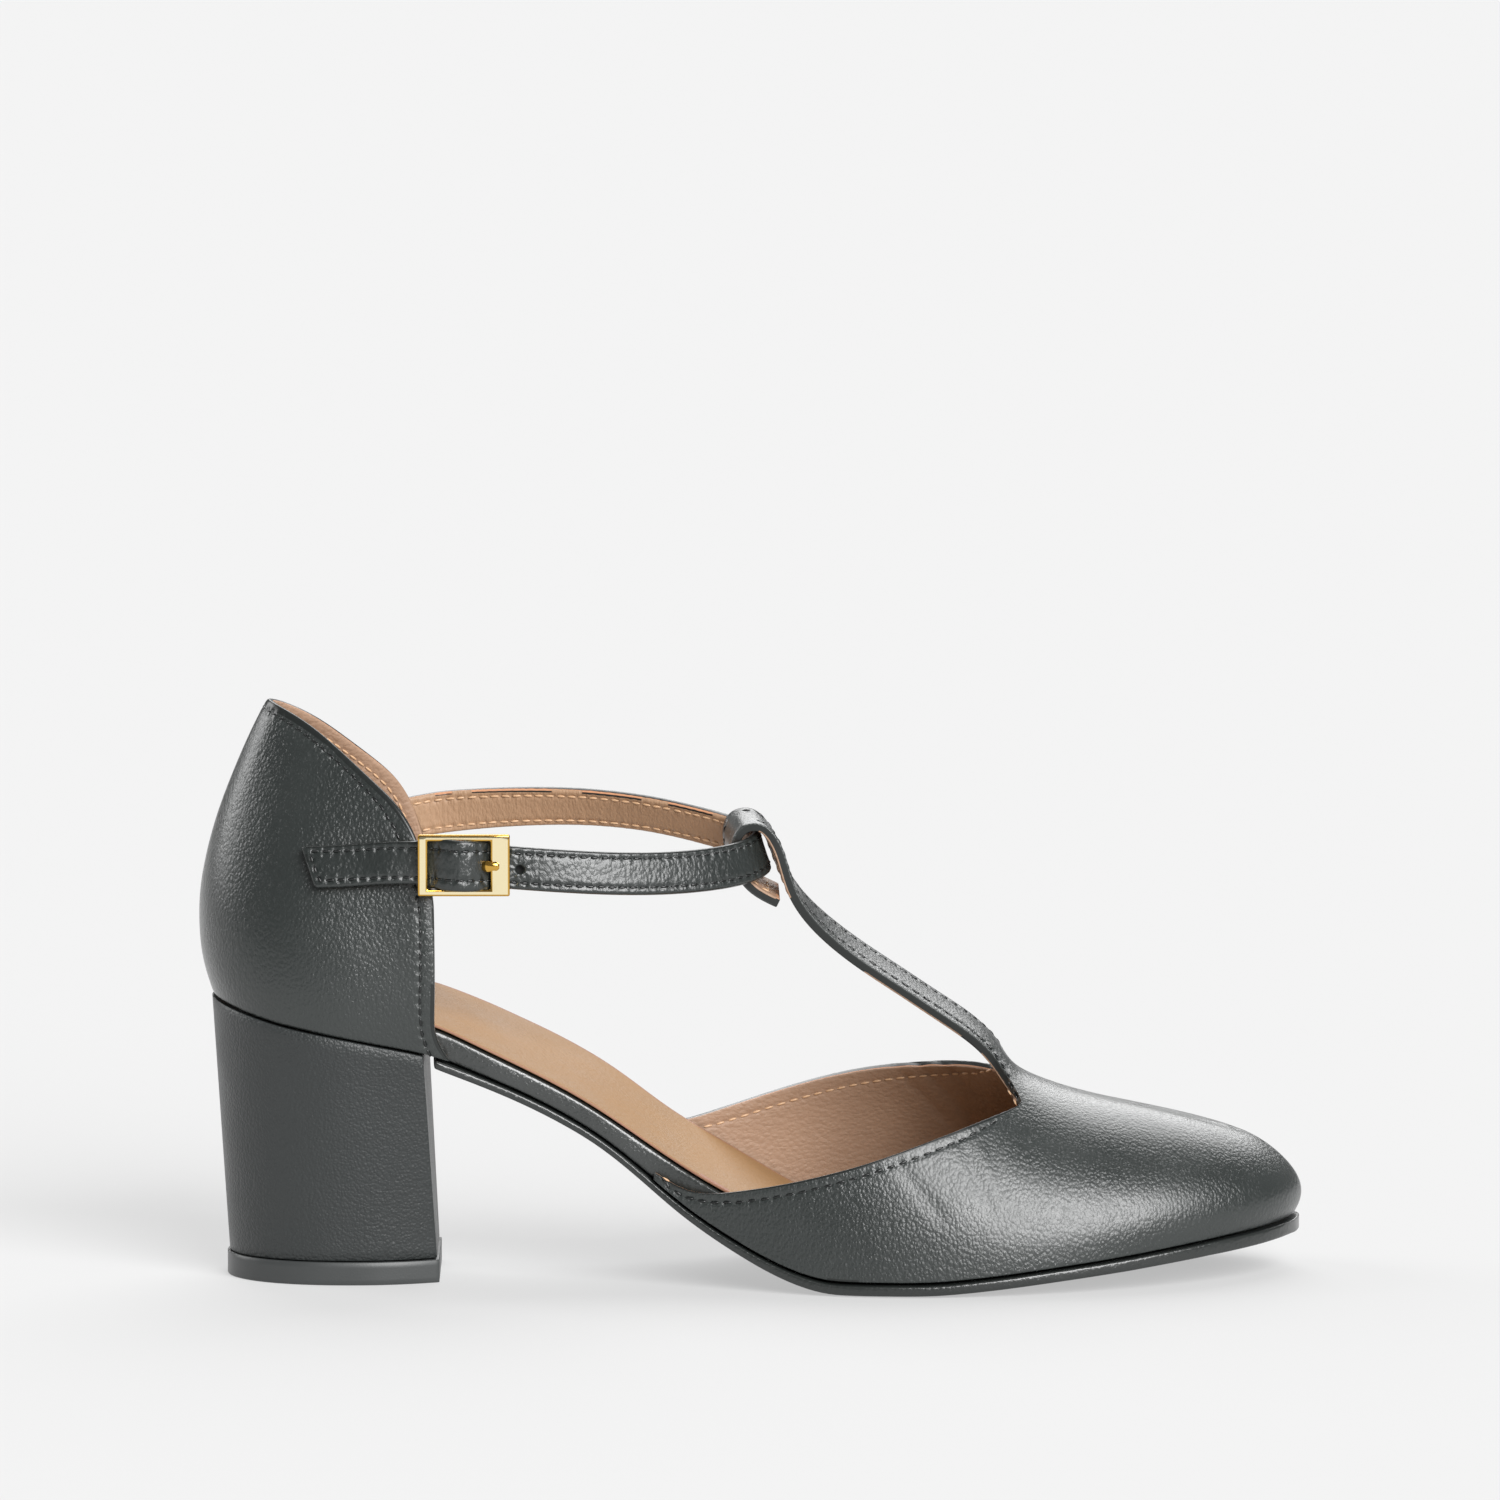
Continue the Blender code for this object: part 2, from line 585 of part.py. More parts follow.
def make_ankle_strap():
    """One long strap round the ankle, with a hole where the prong comes through."""
    rows = list(zip(*ANKLE_STRAP.values()))
    middle = len(rows) / 2
    stations = []
    for k, (x, y, z, lean, off) in enumerate(rows):
        if y is None:
            side = "outer" if k < middle else "inner"
            sign = -1 if side == "outer" else 1
            y = sign * (counter_half(side, x, z) + off + STRAP_THICKNESS / 2)
            reach = STRAP_WIDTH / 2
            slope = counter_half(side, x, z - reach) - counter_half(side, x, z + reach)
            lean = math.degrees(math.atan2(slope, 2 * reach))
        stations.append(Vector((x, y, z, lean)))
    line = curve_through(stations, closed=False, steps=2)
    columns = 5
    points, faces = [], []
    for i, station in enumerate(line):
        ahead = line[min(i + 1, len(line) - 1)].to_3d() - line[max(i - 1, 0)].to_3d()
        ahead.normalize()
        out = ahead.cross(Vector((0, 0, 1))).normalized()
        up = out.cross(ahead)
        lean = math.radians(station.w)
        across = up * math.cos(lean) - out * math.sin(lean)
        face = out * math.cos(lean) + up * math.sin(lean)
        for j in range(columns + 1):
            side = 2 * j / columns - 1
            point = station.to_3d() + face * (STRAP_THICKNESS / 2) + across * side * STRAP_WIDTH / 2
            if i == 0:
                point -= ahead * side * FREE_END_SLANT
            points.append(point)
    size = columns + 1
    for i in range(len(line) - 1):
        here = (line[i] + line[i + 1]) / 2
        for j in range(columns):
            if HOLE["start"] < here.x < HOLE["end"] and here.y < 0 and j == columns // 2:
                continue
            a = i * size + j
            faces.append([a, a + size, a + size + 1, a + 1])
    add_sheet("ankle_strap", points, faces, STRAP_THICKNESS, "black_nappa")


def make_buckle():
    """Rectangular frame with one wide bar, and a round middle bar joined into it."""
    half_length, half_height = BUCKLE_LENGTH / 2, BUCKLE_HEIGHT / 2
    xs = [-half_length, -half_length + BAR, half_length - PRONG_BAR, half_length]
    zs = [-half_height, -half_height + BAR, half_height - BAR, half_height]
    points = [(BUCKLE["x"] + x, BUCKLE["y"] - BUCKLE_THICKNESS, BUCKLE["z"] + z) for z in zs for x in xs]
    faces = []
    for j in range(3):
        for i in range(3):
            if (i, j) != (1, 1):
                a = 4 * j + i
                faces.append([a, a + 1, a + 5, a + 4])
    frame = add_sheet("buckle", points, faces, BUCKLE_THICKNESS, "brass")
    soften(frame, 0.3)
    reach = half_height - BAR / 2
    bar = add_rod(
        "middle_bar", [(BUCKLE["bar_x"], BUCKLE["bar_y"], BUCKLE["z"] + z) for z in (-reach, reach)],
        BUCKLE["bar_radius"], "brass",
    )
    bar.hide_render = True
    bar.display_type = "WIRE"
    join = frame.modifiers.new("Middle bar", "BOOLEAN")
    join.operation = "UNION"
    join.solver = "EXACT"
    join.object = bar


def add_rod(name, route, radius, finish, sides=8):
    """A round rod along a route of millimetre points, closed at both ends."""
    route = [Vector(p) for p in route]
    points, faces = [], []
    normal = None
    for i, centre in enumerate(route):
        ahead = (route[min(i + 1, len(route) - 1)] - route[max(i - 1, 0)]).normalized()
        if normal is None:
            normal = ahead.orthogonal().normalized()
        else:
            normal = (normal - ahead * normal.dot(ahead)).normalized()
        side = ahead.cross(normal)
        for k in range(sides):
            turn = 2 * math.pi * k / sides
            points.append(centre + (normal * math.cos(turn) + side * math.sin(turn)) * radius)
    for i in range(len(route) - 1):
        for k in range(sides):
            a, b = i * sides + k, i * sides + (k + 1) % sides
            faces.append([a, b, b + sides, a + sides])
    faces.append(list(reversed(range(sides))))
    faces.append([len(points) - sides + k for k in range(sides)])
    return add_object(name, points, faces, finish)


def make_prong():
    """Brass tongue: hooked round the middle bar, through the strap's hole and on to the wide bar."""
    ring = BUCKLE["bar_radius"] + 0.15 + PRONG_RADIUS
    z = BUCKLE["z"]
    route = []
    for k in range(9):
        turn = math.radians(120 + 240 * k / 8)
        route.append((BUCKLE["bar_x"] + ring * math.cos(turn), BUCKLE["bar_y"] - ring * math.sin(turn), z))
    over = BUCKLE["y"] - BUCKLE_THICKNESS - GAP - PRONG_RADIUS
    route += [(58.4, -29.2, z), (60.3, -29.4, z), (61.6, -30.8, z), (62.8, over, z), (66.2, over, z)]
    add_rod("prong", route, PRONG_RADIUS, "brass")


def make_buckle_tab():
    """Leather tab from the counter that hooks under the middle bar on both sides of the prong."""
    columns = 5
    points, faces = [], []
    heights = [BUCKLE["z"] + TAB_WIDTH * (j / columns - 0.5) for j in range(columns + 1)]
    for x in (41.0, 43.0, 45.0, 47.0):
        for z in heights:
            points.append((x, -counter_half("outer", min(x, 46.0), z) - GAP - TAB_THICKNESS, z))
    hook = BUCKLE["bar_radius"] + GAP
    route = [(50.0, -27.5), (53.0, -28.5)]
    slot_start = 5
    for k in range(5):
        turn = math.radians(27 * k)
        route.append((BUCKLE["bar_x"] + hook * math.sin(turn), BUCKLE["bar_y"] + hook * math.cos(turn)))
    for x, y in route:
        points += [(x, y, z) for z in heights]
    size = columns + 1
    for i in range(len(points) // size - 1):
        for j in range(columns):
            if i >= slot_start and j == columns // 2:
                continue
            a = i * size + j
            faces.append([a, a + size, a + size + 1, a + 1])
    add_sheet("buckle_tab", points, faces, TAB_THICKNESS, "black_nappa")


def stand_on_origin():
    """Put the origin on the floor under the middle of the shoe's box."""
    corners = [v.co for made in SHOE.children for v in made.data.vertices]
    for axis in (0, 1):
        values = [corner[axis] for corner in corners]
        SHOE.location[axis] = -(min(values) + max(values)) / 2


make_outsole()
make_insole_board()
make_sock_lining()
make_heel()
make_vamp()
make_counter()
make_ankle_strap()
make_buckle()
make_prong()
make_buckle_tab()
stand_on_origin()
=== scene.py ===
# Looks of a black nappa T-strap shoe with a block heel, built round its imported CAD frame.
# Toe towards +X, outer side towards -Y and the camera, floor at z = 0. The CAD model is in metres.
import math
import bpy
import bmesh
from mathutils import Matrix, Vector
from mathutils.bvhtree import BVHTree
from mathutils.kdtree import KDTree


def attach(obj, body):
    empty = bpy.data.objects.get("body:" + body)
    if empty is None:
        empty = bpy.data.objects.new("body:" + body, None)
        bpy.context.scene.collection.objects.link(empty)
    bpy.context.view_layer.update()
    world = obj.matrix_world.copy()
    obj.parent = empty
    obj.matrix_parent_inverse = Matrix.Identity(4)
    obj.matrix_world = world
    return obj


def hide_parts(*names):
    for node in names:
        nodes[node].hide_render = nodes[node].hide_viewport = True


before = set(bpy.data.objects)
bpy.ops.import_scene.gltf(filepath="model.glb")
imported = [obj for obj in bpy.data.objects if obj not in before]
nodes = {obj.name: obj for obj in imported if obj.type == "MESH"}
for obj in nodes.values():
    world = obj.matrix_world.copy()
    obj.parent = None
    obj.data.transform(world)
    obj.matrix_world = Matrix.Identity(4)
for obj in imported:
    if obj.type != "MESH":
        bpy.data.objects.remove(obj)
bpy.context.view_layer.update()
mm = 0.001
print("frame loaded:", len(nodes), "nodes")


# small helpers
def toLinear(hexColour):
    # sRGB hex to the linear colour that the nodes expect
    parts = [int(hexColour[i:i + 2], 16) / 255 for i in (1, 3, 5)]
    return tuple(c / 12.92 if c <= 0.04045 else ((c + 0.055) / 1.055) ** 2.4 for c in parts) + (1.0,)


def newMaterial(name):
    made = bpy.data.materials.new(name)
    made.use_nodes = True
    made.node_tree.nodes.clear()
    return made


def addNode(material, kind, settings=None, inputs=None):
    # inputs hold plain values, or (node, output name) for a link
    tree = material.node_tree
    node = tree.nodes.new(kind)
    for name, value in (settings or {}).items():
        setattr(node, name, value)
    for name, value in (inputs or {}).items():
        if isinstance(value, tuple) and isinstance(value[0], bpy.types.Node):
            tree.links.new(value[0].outputs[value[1]], node.inputs[name])
        else:
            node.inputs[name].default_value = value
    return node


def pickOnly(piece):
    bpy.ops.object.select_all(action="DESELECT")
    piece.select_set(True)
    bpy.context.view_layer.objects.active = piece


def applyModifier(piece, kind, **settings):
    pickOnly(piece)
    modifier = piece.modifiers.new(kind.title(), kind)
    for name, value in settings.items():
        setattr(modifier, name, value)
    bpy.ops.object.modifier_apply(modifier=modifier.name)


def mergedCopy(nodeName, pieceName):
    # a node's loose triangles as one mesh of four-sided faces
    piece = bpy.data.objects.new(pieceName, nodes[nodeName].data.copy())
    bpy.context.scene.collection.objects.link(piece)
    pickOnly(piece)
    bpy.ops.object.mode_set(mode="EDIT")
    bpy.ops.mesh.select_all(action="SELECT")
    bpy.ops.mesh.remove_doubles(threshold=0.00001)
    bpy.ops.mesh.tris_convert_to_quads(face_threshold=math.radians(50), shape_threshold=math.radians(60))
    bpy.ops.mesh.customdata_custom_splitnormals_clear()
    bpy.ops.object.mode_set(mode="OBJECT")
    piece.data.materials.clear()
    return piece


def faceRegions(piece, bend):
    # groups of faces with no edge between them that bends more than this
    work = bmesh.new()
    work.from_mesh(piece.data)
    work.faces.ensure_lookup_table()
    region, count = {}, 0
    for seed in work.faces:
        if seed.index in region:
            continue
        waiting = [seed]
        region[seed.index] = count
        while waiting:
            face = waiting.pop()
            for edge in face.edges:
                if len(edge.link_faces) == 2 and math.degrees(edge.calc_face_angle(0)) < bend:
                    for other in edge.link_faces:
                        if other.index not in region:
                            region[other.index] = count
                            waiting.append(other)
        count += 1
    area = [0.0] * count
    for face in work.faces:
        area[region[face.index]] += face.calc_area()
    work.free()
    order = sorted(range(count), key=lambda k: -area[k])
    return [order.index(region[i]) for i in range(len(piece.data.polygons))]


def finishPiece(piece, nodeName):
    piece.data.name = piece.name
    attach(piece, "root")
    if nodeName:
        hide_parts(nodeName)


def smoothAll(piece):
    for polygon in piece.data.polygons:
        polygon.use_smooth = True


# materials
leatherLook = {
    "bend": 2.2, "bendAmount": 0.9,  # size and amount of the warp between pebbles, in pebble sizes
    "poreSize": 0.5, "poreShare": 0.4,  # size of the pores in pebble sizes, and their share of the relief
    "randomness": 0.95, "bump": 0.75,
    "cloudSize": 14, "cloudLow": 0.3, "cloudHigh": 0.7,  # mm, and the range of its noise that counts
    "glossier": 0.04, "duller": 0.06, "lighter": 1.25,  # how gloss and tone vary with the clouds
}


def nappaLeather(name, colour, grain=1.15, depth=0.12, roughness=0.34, stretch=(1.0, 1.0, 1.0), coat=0.12):
    # fine pebbles of this size and depth in mm, and a soft gloss that varies a little from place to place
    look = leatherLook
    made = newMaterial(name)
    place = addNode(made, "ShaderNodeTexCoord")
    pulled = addNode(made, "ShaderNodeMapping", None, {"Vector": (place, "Object"), "Scale": stretch})
    bent = addNode(made, "ShaderNodeTexNoise", {"normalize": True}, {
        "Vector": (pulled, "Vector"), "Scale": 1000 / (grain * look["bend"]), "Detail": 1.0})
    shifted = addNode(made, "ShaderNodeVectorMath", {"operation": "MULTIPLY_ADD"}, {
        0: (bent, "Color"), 1: (grain * look["bendAmount"] * mm,) * 3, 2: (pulled, "Vector")})
    cells = addNode(made, "ShaderNodeTexVoronoi", {"feature": "F1"}, {
        "Vector": (shifted, "Vector"), "Scale": 1000 / grain, "Randomness": look["randomness"]})
    pores = addNode(made, "ShaderNodeTexNoise", None, {
        "Vector": (pulled, "Vector"), "Scale": 1000 / (grain * look["poreSize"]),
        "Detail": 2.0, "Roughness": 0.6})
    height = addNode(made, "ShaderNodeMix", {"data_type": "FLOAT"}, {
        "Factor": look["poreShare"], "A": (cells, "Distance"), "B": (pores, "Fac")})
    bump = addNode(made, "ShaderNodeBump", {"invert": True}, {
        "Strength": look["bump"], "Distance": depth * mm, "Height": (height, "Result")})
    clouds = addNode(made, "ShaderNodeTexNoise", None, {
        "Vector": (place, "Object"), "Scale": 1000 / look["cloudSize"], "Detail": 3.0, "Roughness": 0.55})
    gloss = addNode(made, "ShaderNodeMapRange", None, {
        "Value": (clouds, "Fac"), "From Min": look["cloudLow"], "From Max": look["cloudHigh"],
        "To Min": roughness - look["glossier"], "To Max": roughness + look["duller"]})
    tone = addNode(made, "ShaderNodeMix", {"data_type": "RGBA"}, {"Factor": (clouds, "Fac")})
    tone.inputs[6].default_value = toLinear(colour)
    tone.inputs[7].default_value = [min(1.0, c * look["lighter"]) for c in toLinear(colour)]
    shader = addNode(made, "ShaderNodeBsdfPrincipled", None, {
        "Roughness": (gloss, "Result"), "Normal": (bump, "Normal"),
        "IOR": 1.5, "Coat Weight": coat, "Coat Roughness": 0.3})
    made.node_tree.links.new(tone.outputs[2], shader.inputs["Base Color"])
    addNode(made, "ShaderNodeOutputMaterial", None, {"Surface": (shader, "BSDF")})
    return made


# near-black pebbles that break the lamps up into broad grainy highlights
blackNappa = nappaLeather("black calf nappa", "#232726", 0.72, 0.3, 0.29, (1.0, 1.0, 0.75), 0.5)
# the same hide with coarser pebbles and a little more gloss
strapNappa = nappaLeather("black calf nappa strap", "#202423", 0.85, 0.28, 0.27, (1.0, 1.0, 0.7), 0.4)
# stretched hide whose gloss draws a bright line along the board
boardNappa = nappaLeather("black nappa pulled tight over board", "#222524", 0.9, 0.26, 0.2, coat=1.0)
# dull tan with a fine grain
tanLining = nappaLeather("tan vegetable-tanned lining leather", "#947863", 0.9, 0.3, 0.55, (0.7, 1.0, 1.0), 0.0)
# a paler tan with a grain that runs across the strap
strapLining = nappaLeather("light tan strap lining leather", "#9c7d62", 0.9, 0.22, 0.5,
                           (1.6, 1.0, 0.6), 0.0)
# flat light tan without shine
sockLeather = nappaLeather("light tan sock leather", "#8b6a45", 1.1, 0.16, 0.62, coat=0.0)
# a thin brown line round the sock
rawEdge = nappaLeather("pared tan leather edge", "#8a6350", 0.5, 0.05, 0.6, coat=0.0)
# painted and burnished edge, almost black, with a bright line where it is rounded
soleEdge = nappaLeather("black inked leather sole edge", "#1d201f", 1.1, 0.2, 0.22, coat=0.5)
# matt tan on the sole's smaller face, its other faces being black
soleLeather = nappaLeather("tan oak-bark sole leather", "#b58a62", 1.6, 0.05, 0.55, coat=0.0)
# thin pebbled cover with a satin shine
heelCover = nappaLeather("black satin heel cover leather", "#262929", 0.7, 0.34, 0.42)
# smooth dark grey block under the heel
rubber = nappaLeather("black moulded top piece rubber", "#353737", 0.5, 0.03, 0.42)
# dark glossy dashes that sit in the pressed seam
threadBlack = nappaLeather("black bonded polyester thread", "#121414", 0.4, 0.03, 0.22)
# painted shade: near-black, matt dots that stand in for the dark inside of the punched strap holes
paintedHoleShade = nappaLeather("painted shade in the punched strap holes", "#080909", 0.4, 0.1, 0.9, coat=0.0)
# pale dashes on the lining
threadTan = nappaLeather("tan bonded polyester thread", "#bd9a78", 0.4, 0.03, 0.4)


metalLook = {"hazeScale": 700.0, "glossier": 0.04, "duller": 0.06}


def plainMetal(name, colour, roughness):
    # polished plate on cast metal: a warm mirror with a faint haze from handling
    made = newMaterial(name)
    place = addNode(made, "ShaderNodeTexCoord")
    haze = addNode(made, "ShaderNodeTexNoise", None, {
        "Vector": (place, "Object"), "Scale": metalLook["hazeScale"], "Detail": 3.0})
    gloss = addNode(made, "ShaderNodeMapRange", None, {
        "Value": (haze, "Fac"),
        "To Min": roughness - metalLook["glossier"], "To Max": roughness + metalLook["duller"]})
    shader = addNode(made, "ShaderNodeBsdfPrincipled", None, {
        "Base Color": toLinear(colour), "Metallic": 1.0, "Roughness": (gloss, "Result")})
    addNode(made, "ShaderNodeOutputMaterial", None, {"Surface": (shader, "BSDF")})
    return made


# the flat front of the buckle: the gold plate painted nearly white, a painted highlight for the lamps' gleam on
# the flat face
goldFrontPaintedHighlight = plainMetal("light gold plate", "#fdeec4", 0.1)
# the same gold plate in a deeper yellow on the rounded edges, the bar and the prong: partly its own tone,
# partly painted shade beside the pale front
goldEdge = plainMetal("light gold plate on rounded edges", "#d3a64f", 0.12)


edgeLook = {
    "ragged": 0.08, "start": 0.72, "end": 0.77,  # how far into the wall the lining's colour begins
    "upStart": 0.2, "upEnd": 0.4,  # it only shows where the edge looks up
    "raggedScale": 900.0, "gloss": 0.28, "dull": 0.6,  # roughness of the nappa and of the lining's line
}


def edgeLeather(name, outside, inside):
    # cut edge: black nappa rolled over it, with the lining's pared edge as a thin line
    made = newMaterial(name)
    place = addNode(made, "ShaderNodeTexCoord")
    depth = addNode(made, "ShaderNodeAttribute", {"attribute_name": "wallDepth"})
    ragged = addNode(made, "ShaderNodeTexNoise", None, {
        "Vector": (place, "Object"), "Scale": edgeLook["raggedScale"], "Detail": 2.0})
    where = addNode(made, "ShaderNodeMath", {"operation": "MULTIPLY_ADD"}, {
        0: (ragged, "Fac"), 1: edgeLook["ragged"], 2: (depth, "Fac")})
    onLining = addNode(made, "ShaderNodeMapRange", None, {
        "Value": (where, "Value"), "From Min": edgeLook["start"], "From Max": edgeLook["end"]})
    facing = addNode(made, "ShaderNodeNewGeometry")
    parts = addNode(made, "ShaderNodeSeparateXYZ", None, {"Vector": (facing, "Normal")})
    upward = addNode(made, "ShaderNodeMapRange", None, {
        "Value": (parts, "Z"), "From Min": edgeLook["upStart"], "From Max": edgeLook["upEnd"]})
    lining = addNode(made, "ShaderNodeMath", {"operation": "MULTIPLY"}, {
        0: (onLining, "Result"), 1: (upward, "Result")})
    tone = addNode(made, "ShaderNodeMix", {"data_type": "RGBA"}, {"Factor": (lining, "Value")})
    tone.inputs[6].default_value = toLinear(outside)
    tone.inputs[7].default_value = toLinear(inside)
    gloss = addNode(made, "ShaderNodeMapRange", None, {
        "Value": (lining, "Value"), "To Min": edgeLook["gloss"], "To Max": edgeLook["dull"]})
    bump = addNode(made, "ShaderNodeBump", None, {
        "Strength": 0.4, "Distance": 0.05 * mm, "Height": (ragged, "Fac")})
    shader = addNode(made, "ShaderNodeBsdfPrincipled", None, {
        "Roughness": (gloss, "Result"), "Normal": (bump, "Normal"), "IOR": 1.5})
    made.node_tree.links.new(tone.outputs[2], shader.inputs["Base Color"])
    addNode(made, "ShaderNodeOutputMaterial", None, {"Surface": (shader, "BSDF")})
    return made


# the topline: a thin dark roll with a peach line on its inner side
foldedEdge = edgeLeather("turned edge of black nappa and tan lining", "#1c1f1e", "#c08a66")
print("materials made")


# leather parts over the CAD shapes
leatherParts = {
    # node: piece, slot, rounding of its cut edges in mm, subdivisions,
    # and the finish of its largest face, of its next largest and of the rest
    "vamp": ("vampLeather", "black_leather", 0.4, 3, (blackNappa, tanLining, foldedEdge)),
    "counter": ("counterLeather", "black_leather", 0.4, 3, (blackNappa, tanLining, foldedEdge)),
    "ankle_strap": ("ankleStrapLeather", "black_leather", 0.45, 3, (strapNappa, strapLining, foldedEdge)),
    "buckle_tab": ("buckleTabLeather", "black_leather", 0.2, 2, (strapNappa, tanLining, strapNappa)),
    "insole_board": ("boardCover", "black_leather", 0.8, 2, (boardNappa, boardNappa, boardNappa)),
    "sock_lining": ("sockLeatherPad", "tan_leather", 0.2, 2, (sockLeather, sockLeather, rawEdge)),
    "outsole": ("leatherOutsole", "sole_edge", 0.7, 2, (soleEdge, soleLeather, soleEdge)),
    "heel": ("coveredHeel", "heel_cover", 0.3, 2, (heelCover, heelCover, heelCover)),
    "top_piece": ("rubberTopPiece", "black_rubber", 0.35, 2, (rubber, rubber, rubber)),
}
shoe = {
    "heelBack": 117.97,  # mm from the back of the heel to x = 0
    "cutBend": 62, "hardBend": 28,  # degrees: a cut edge, and an edge kept sharp on the heel and top piece
    "tailEnd": 116.0, "tailThinning": 0.79,  # mm, and how much the lining's line thins on the vamp's tail
    "vampMerging": 0.82,  # share of the vamp's triangles that is kept
}
counterFront = {"start": 36, "length": 13, "near": 0.9, "far": -0.5}  # mm, and how far each side moves
strapShape = {
    "cadHole": (61.25, -30.4, 91.8), "holeReach": 3.2, "holeHalf": 1.5, "wallTilt": 0.6,  # the CAD's hole
    "bulgeStart": 46, "bulgeEnd": 67, "bulgeEase": 4, "bulgeMiddle": 92.0, "bulge": 0.2,
    "wrinkle": 0.05, "wrinkleRate": 5.1, "wander": 0.9, "wanderRate": 0.7, "lean": 220, "facing": -0.4,
}


def inShoe(x, y, z):
    # a place in the shoe's own millimetres, with x from the back of the heel
    return Vector((x - shoe["heelBack"], y, z)) * mm


def vertexNormals(piece):
    # all read before any vertex moves, because each read after a move works every normal out again
    return [vertex.normal.copy() for vertex in piece.data.vertices]


def ease(t):
    t = min(max(t, 0.0), 1.0)
    return t * t * (3 - 2 * t)


def closePunchedHole(piece, around):
    # the CAD strap's square hole is filled, and round ones are pressed in later
    work = bmesh.new()
    work.from_mesh(piece.data)
    walls = [face for face in work.faces
             if (face.calc_center_median() - around).length < strapShape["holeReach"] * mm
             and abs(face.normal.y) < strapShape["wallTilt"]
             and abs(face.calc_center_median().z - around.z) < strapShape["holeHalf"] * mm]
    bmesh.ops.delete(work, geom=walls, context="FACES")
    openEdges = [edge for edge in work.edges if edge.is_boundary]
    bmesh.ops.holes_fill(work, edges=openEdges, sides=0)
    work.to_mesh(piece.data)
    work.free()


def creaseBends(piece, bend):
    # keeps bends sharper than this through the subdivision
    work = bmesh.new()
    work.from_mesh(piece.data)
    crease = work.edges.layers.float.new("crease_edge")
    for edge in work.edges:
        if len(edge.link_faces) == 2 and math.degrees(edge.calc_face_angle(0)) > bend:
            edge[crease] = 1.0
    work.to_mesh(piece.data)
    work.free()


def markWallDepth(piece, regions):
    # 0 on the outer face and 1 on the lining, so that a cut edge can show both leathers
    depth = piece.data.attributes.new("wallDepth", "FLOAT", "POINT")
    for polygon, region in zip(piece.data.polygons, regions):
        if region == 1:
            for corner in polygon.vertices:
                depth.data[corner].value = 1.0


def rimLoops(piece, regions, face):
    # closed rows of points where the outer (0) or lining (1) face meets the rim, with the way into the face
    sides = {}
    for polygon, region in zip(piece.data.polygons, regions):
        for key in polygon.edge_keys:
            sides.setdefault(key, []).append((region, polygon.index))
    nextTo, inward = {}, {}
    for (a, b), found in sides.items():
        kinds = [min(region, 2) for region, _ in found]
        if sorted(kinds) == sorted((face, 2)):
            nextTo.setdefault(a, []).append(b)
            nextTo.setdefault(b, []).append(a)
            polygon = piece.data.polygons[next(i for region, i in found if region == face)]
            start, end = piece.data.vertices[a].co, piece.data.vertices[b].co
            way = polygon.center - (start + end) / 2
            way -= (end - start) * way.dot(end - start) / (end - start).length_squared
            for corner in (a, b):
                inward[corner] = inward.get(corner, Vector()) + way.normalized()
    loops, seen = [], set()
    for first in nextTo:
        if first in seen:
            continue
        loop, here, before = [first], first, None
        seen.add(first)
        while True:
            ahead = [n for n in nextTo[here] if n != before and n not in seen]
            if not ahead:
                break
            before, here = here, ahead[0]
            seen.add(here)
            loop.append(here)
        loops.append([(piece.data.vertices[k].co.copy(), inward[k].normalized()) for k in loop])
    return loops


def moveCounterFront(piece):
    # the near front edge runs a little further forward than the far one
    for vertex in piece.data.vertices:
        share = ease((vertex.co.x * 1000 + shoe["heelBack"] - counterFront["start"]) / counterFront["length"])
        vertex.co.x += (counterFront["near"] if vertex.co.y < 0 else counterFront["far"]) * share * mm


def shapeStrap(piece):
    # it bulges inside the buckle up to the frame's inner height, and the far half's lining is wrinkled
    normals = vertexNormals(piece)
    for vertex, normal in zip(piece.data.vertices, normals):
        x = vertex.co.x * 1000 + shoe["heelBack"]
        if vertex.co.y < 0:
            share = (ease((x - strapShape["bulgeStart"]) / strapShape["bulgeEase"])
                     * ease((strapShape["bulgeEnd"] - x) / strapShape["bulgeEase"]))
            middle = strapShape["bulgeMiddle"] * mm
            vertex.co.z = middle + (vertex.co.z - middle) * (1 + strapShape["bulge"] * share)
        elif normal.y < strapShape["facing"]:
            beat = math.sin(x * strapShape["wrinkleRate"]
                            + strapShape["wander"] * math.sin(x * strapShape["wanderRate"])
                            + vertex.co.z * strapShape["lean"])
            vertex.co += normal * strapShape["wrinkle"] * beat * mm


